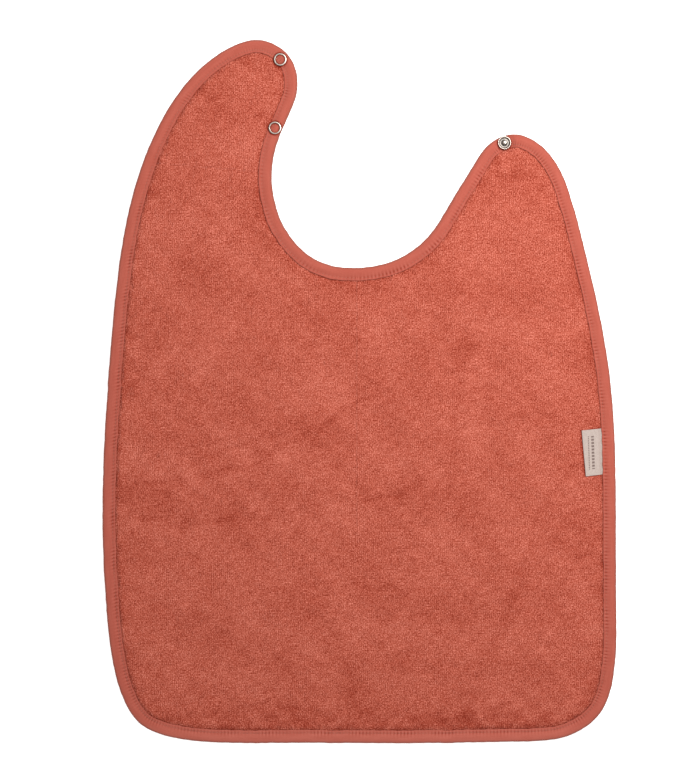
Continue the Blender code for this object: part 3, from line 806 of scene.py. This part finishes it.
class Nodes:
    """Small helper that adds and links the nodes of one material."""

    def __init__(self, name):
        self.material = bpy.data.materials.new(name)
        self.material.use_nodes = True
        self.tree = self.material.node_tree
        self.shader = self.tree.nodes["Principled BSDF"]

    def add(self, kind, inputs=(), **settings):
        node = self.tree.nodes.new(kind)
        for key, value in settings.items():
            setattr(node, key, value)
        for key, value in dict(inputs).items():
            self.put(node.inputs[key], value)
        return node

    def put(self, socket, value):
        if isinstance(value, bpy.types.NodeSocket):
            self.tree.links.new(value, socket)
        else:
            socket.default_value = value

    def math(self, operation, a, b=0.0):
        node = self.add("ShaderNodeMath", operation=operation)
        self.put(node.inputs[0], a)
        self.put(node.inputs[1], b)
        return node.outputs[0]

    def plus(self, a, b):
        return self.math("ADD", a, b)

    def times(self, a, b):
        return self.math("MULTIPLY", a, b)

    def mix(self, share, a, b):
        node = self.add("ShaderNodeMix", data_type="RGBA")
        self.put(node.inputs[0], share)
        self.put(node.inputs[6], a)
        self.put(node.inputs[7], b)
        return node.outputs[2]

    def noise(self, vector, scale, detail=2.0, roughness=0.5):
        return self.add("ShaderNodeTexNoise", {"Vector": vector, "Scale": scale,
                                               "Detail": detail,
                                               "Roughness": roughness}).outputs["Fac"]

    def attribute(self, name, output="Vector"):
        return self.add("ShaderNodeAttribute", attribute_name=name).outputs[output]

    def ramp(self, value, stops):
        node = self.add("ShaderNodeValToRGB", {"Fac": value})
        elements = node.color_ramp.elements
        while len(elements) < len(stops):
            elements.new(0.5)
        for element, (position, colour) in zip(elements, stops):
            element.position = position
            element.color = (*colour, 1)
        return node.outputs["Color"]

    def bump(self, height, strength, distance):
        return self.add("ShaderNodeBump", {"Height": height, "Strength": strength,
                                           "Distance": distance}).outputs["Normal"]

    def scaled(self, vector, factors):
        node = self.add("ShaderNodeVectorMath", operation="MULTIPLY")
        self.put(node.inputs[0], vector)
        node.inputs[1].default_value = factors
        return node.outputs[0]

    def finish(self, **inputs):
        """Set the shader's inputs, named with _ for a space, and hand over the material."""
        for key, value in inputs.items():
            self.put(self.shader.inputs[key.replace("_", " ")], value)
        return self.material


def shown(red, green, blue):
    """Base colour that the stage's light shows as this screen colour."""
    return tuple(((c / 255 + 0.055) / 1.055)**2.4 / EXPOSURE for c in (red, green, blue))


def tone_ramp(middle):
    """Ramp stops that change all three screen colours by the same steps about a middle."""
    return [(share, shown(*(max(c + (share - 0.5) * 2 * TONE_REACH, 4) for c in middle)))
            for share in (0.0, 0.25, 0.5, 0.75, 1.0)]


def terry_material():
    """Looped cotton: grain of single loops, woven lines both ways, soft brushed patches."""
    n = Nodes("terry")
    rest = n.attribute("rest")
    pile = n.attribute("pile", "Fac")
    tone = n.plus(n.attribute("shade", "Fac"), 0.5)
    for factors, scale, detail, strength in (
            ((1.0, 0.62, 0), 1.6, 1.0, 2.1),        # single loops
            ((1.0, 0.10, 0), 1.15, 1.0, 0.34),      # lines of the weave along Y
            ((0.10, 1.0, 0), 1.15, 1.0, 0.28),      # lines of the weave along X
            ((1.0, 1.0, 0), 0.16, 2.0, 0.17)):      # clumps of loops
        grain = n.noise(n.scaled(rest, factors), scale, detail, 0.6)
        tone = n.plus(tone, n.times(n.math("SUBTRACT", grain, 0.5), strength))
    # painted shade and light of the loops, from the pile attribute
    tone = n.plus(tone, n.times(n.math("SUBTRACT", pile, 0.5), 0.36))
    colour = n.ramp(tone, tone_ramp(TERRY_SHOWN))
    loops = n.add("ShaderNodeTexVoronoi", {"Vector": n.scaled(rest, (1.0, 0.8, 0)),
                                           "Scale": 0.95, "Randomness": 0.85})
    height = n.math("SUBTRACT", n.noise(rest, 1.4, 3.0, 0.7), loops.outputs["Distance"])
    normal = n.bump(height, 0.5, 0.0005)
    return n.finish(Base_Color=colour, Roughness=0.95, Normal=normal, Sheen_Weight=0.12,
                    Sheen_Roughness=0.5, Specular_IOR_Level=0.08)


def tape_material():
    """Plain-woven bias tape: threads at 45 degrees to its length, with painted shade darkening its
    fold.
    """
    n = Nodes("binding_tape")
    place = n.attribute("tape_place")
    split = n.add("ShaderNodeSeparateXYZ", {"Vector": place})
    travel, inset = split.outputs["X"], split.outputs["Y"]
    slant = n.plus(travel, inset)
    cross = n.math("SUBTRACT", travel, inset)
    warp = n.math("SINE", n.times(slant, 2 * math.pi / 0.62))
    weft = n.math("SINE", n.times(cross, 2 * math.pi / 0.62))
    weave = n.times(warp, weft)
    fade = n.noise(n.scaled(place, (0.06, 0.35, 0)), 1.0, 3.0, 0.6)
    speck = n.noise(n.scaled(place, (1.4, 1.4, 0)), 1.0, 2.0, 0.6)
    tone = n.plus(n.times(fade, 0.22), n.times(speck, 0.16))
    tone = n.plus(n.plus(tone, 0.31), n.times(weave, 0.03))
    tone = n.plus(tone, n.attribute("shade", "Fac"))
    colour = n.ramp(tone, tone_ramp(TAPE_SHOWN))
    # painted shade on the fold, strongest at the outer edge
    rim = n.add("ShaderNodeMapRange", {"Value": inset, "From Min": 0.0, "From Max": 1.9,
                                       "To Min": 0.8, "To Max": 0.0}).outputs["Result"]
    colour = n.mix(rim, colour, (*shown(*FOLD_SHADE_SHOWN), 1))
    height = n.plus(weave, n.times(speck, 0.8))
    normal = n.bump(height, 0.35, 0.0001)
    return n.finish(Base_Color=colour, Roughness=0.85, Normal=normal, Sheen_Weight=0.05,
                    Sheen_Roughness=0.4, Specular_IOR_Level=0.1)


def thread_material():
    """Twisted sewing thread."""
    n = Nodes("sewing_thread")
    place = n.add("ShaderNodeTexCoord").outputs["Object"]
    twist = n.add("ShaderNodeTexWave", {"Vector": place, "Scale": 900.0, "Distortion": 1.5},
                  bands_direction="DIAGONAL").outputs["Fac"]
    shade = n.noise(place, 300.0)
    tone = n.plus(n.times(twist, 0.4), n.times(shade, 0.6))
    colour = n.ramp(tone, [(0.2, shown(168, 88, 72)), (0.8, shown(206, 120, 102))])
    return n.finish(Base_Color=colour, Roughness=0.6, Normal=n.bump(twist, 0.4, 0.0001),
                    Specular_IOR_Level=0.12)


def metal_material(name, light, roughness):
    """Nickel plate with faint wear, and painted dark reflection mixed in from a per-point
    attribute.
    """
    n = Nodes(name)
    place = n.add("ShaderNodeTexCoord").outputs["Object"]
    wear = n.noise(place, 900.0, 4.0, 0.6)
    rough = n.add("ShaderNodeMapRange", {"Value": wear, "To Min": roughness - 0.05,
                                         "To Max": roughness + 0.10}).outputs["Result"]
    colour = n.ramp(wear, [(0.2, tuple(c * 0.85 for c in light)), (0.8, light)])
    # mix in the painted dark reflection
    dark_share = n.times(n.attribute("dark_reflection", "Fac"), 0.9)
    colour = n.mix(dark_share, colour, PAINTED_DARK_REFLECTION)
    return n.finish(Base_Color=colour, Metallic=1.0, Roughness=rough,
                    Normal=n.bump(wear, 0.08, 0.0001))


def label_material():
    """Woven ribbon with a plain pattern: a row of small bars and a row of dots."""
    n = Nodes("woven_label")
    place = n.attribute("label_place")
    split = n.add("ShaderNodeSeparateXYZ", {"Vector": place})
    out, along = split.outputs["X"], split.outputs["Y"]

    def band(value, middle, half):
        away = n.math("ABSOLUTE", n.math("SUBTRACT", value, middle))
        return n.math("LESS_THAN", away, half)

    def repeat(value, pitch, half):
        return n.math("LESS_THAN", n.math("PINGPONG", value, pitch / 2), half)

    weave = n.times(n.math("SINE", n.times(out, 2 * math.pi / 0.35)),
                    n.math("SINE", n.times(along, 2 * math.pi / 0.35)))
    speck = n.noise(place, 1.2, 2.0, 0.6)
    tone = n.plus(n.times(weave, 0.12), n.times(speck, 0.8))
    ground = n.ramp(tone, [(0.15, shown(186, 166, 156)), (0.75, shown(216, 198, 187))])
    inner = n.times(n.math("GREATER_THAN", along, 4.5), n.math("LESS_THAN", along, 28))
    bars = n.times(n.times(band(out, 6.3, 0.95), repeat(along, 2.3, 0.75)), inner)
    dots = n.times(n.times(band(out, 9.2, 0.4), repeat(along, 1.2, 0.35)), inner)
    thread = n.math("MAXIMUM", bars, dots)
    thread = n.times(thread, n.plus(n.times(speck, 0.4), 0.6))
    colour = n.mix(thread, ground, LABEL_THREAD)
    normal = n.bump(n.plus(weave, n.times(thread, 1.5)), 0.3, 0.0001)
    return n.finish(Base_Color=colour, Roughness=0.6, Normal=normal, Sheen_Weight=0.1,
                    Specular_IOR_Level=0.3)


# ------------------------------------------------------------------------------ assembly

def bend(piece, joint_name, parent, child, before, after):
    """Bake a piece's placement into its mesh; the joint, the two bodies and the spans before and
    after it are not used.
    """
    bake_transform(piece)


def build():
    """Every visible piece, with the CAD nodes it stands for hidden, and the snaps on the bodies
    they follow.
    """
    terry, tape, thread = terry_material(), tape_material(), thread_material()
    metal = metal_material("bright_nickel", NICKEL, NICKEL_ROUGHNESS)
    dark_metal = metal_material("spring_wire", SPRING_STEEL, SPRING_ROUGHNESS)

    left, strap_end, right = add_terry(terry)
    root_bend = ("strap_root_bend", "panel", "strap", 4, 12)
    tip_bend = ("strap_mid_bend", "strap", "strap_tip", 4, 9)
    side_bend = ("shoulder_bend", "panel", "shoulder", 5, 24)
    sewn = {left: [], strap_end: [], right: []}
    for name, start, end, hinge, nodes, cloth in (
            ("front_left", (STRAP_CUT, True), (FRONT_CUT, True), root_bend,
             ("panel_outer_binding", "strap_outer_binding"), left),
            ("neck_left", (FRONT_CUT, False), (STRAP_CUT, False), root_bend,
             ("panel_neck_binding", "strap_neck_binding"), left),
            ("strap_end", (STRAP_CUT, False), (STRAP_CUT, True), tip_bend,
             ("strap_tip_binding",), strap_end),
            ("front_right", (FRONT_CUT, True), (FRONT_CUT, False), side_bend,
             ("shoulder_binding",), right)):
        run = Run(start, end)
        band = add_tape(f"binding_{name}", run, tape)
        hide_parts(*nodes)
        bend(band, *hinge)
        sewn[cloth].append(band)
        for side, word in ((1, "face"), (-1, "back")):
            row = add_stitches(f"stitches_{word}_{name}", run, side, thread)
            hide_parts(*[f"{node}_stitch_{word}" for node in nodes])
            bend(row, *hinge)
            sewn[cloth].append(row)
    for piece, hinge, nodes, size, area in (
            (left, root_bend, ("panel_terry", "strap_terry"), (0.183, 0.46), 0.0690),
            (strap_end, tip_bend, ("strap_tip_terry",), (0.13, 0.095), 0.0066),
            (right, side_bend, ("shoulder_terry",), (0.185, 0.434), 0.0665)):
        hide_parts(*nodes)
        bend(piece, *hinge)

    add_snaps(metal, dark_metal)
    label = add_label(label_material())
    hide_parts("side_label")
    start = np.append(LABEL_ROOT - LABEL_OUT * 0.6, 5.5) * MM
    end = np.append(LABEL_ROOT + LABEL_OUT * 2.4, 5.5) * MM
    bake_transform(label)


def add_stage():
    """Pale floor with a faint glow, even white surround, soft lamp at the upper right, camera."""
    mesh = bpy.data.meshes.new("floor")
    corners = ((-1, -1), (1, -1), (1, 1), (-1, 1))
    mesh.from_pydata([(x * FLOOR_REACH, y * FLOOR_REACH, FLOOR_HEIGHT) for x, y in corners], [],
                     [(0, 1, 2, 3)])
    floor = bpy.data.objects.new("floor", mesh)
    bpy.context.collection.objects.link(floor)
    n = Nodes("floor_paper")
    mesh.materials.append(n.finish(Base_Color=(0.93, 0.93, 0.93, 1), Roughness=0.9,
                                   Specular_IOR_Level=0.1, Emission_Strength=FLOOR_GLOW,
                                   Emission_Color=(1, 1, 1, 1)))

    world = bpy.data.worlds.new("surround")
    world.use_nodes = True
    background = world.node_tree.nodes["Background"]
    background.inputs["Color"].default_value = (1, 1, 1, 1)
    background.inputs["Strength"].default_value = WORLD_STRENGTH
    bpy.context.scene.world = world

    lamp = bpy.data.lights.new("key", "AREA")
    lamp.shape = "DISK"
    lamp.size = LAMP_SIZE
    lamp.energy = LAMP_POWER
    light = bpy.data.objects.new("key", lamp)
    light.location = LAMP_PLACE
    bpy.context.collection.objects.link(light)

    camera = bpy.data.objects.new("camera", bpy.data.cameras.new("camera"))
    camera.data.lens = LENS
    camera.data.sensor_width = SENSOR
    camera.location = (*FIELD_MIDDLE, FIELD_HEIGHT * LENS / SENSOR + CLOTH_TOP * MM)
    camera.data.clip_start, camera.data.clip_end = 0.01, 20
    bpy.context.collection.objects.link(camera)
    bpy.context.scene.camera = camera
    bpy.context.scene.view_settings.view_transform = "Standard"


build()
add_stage()
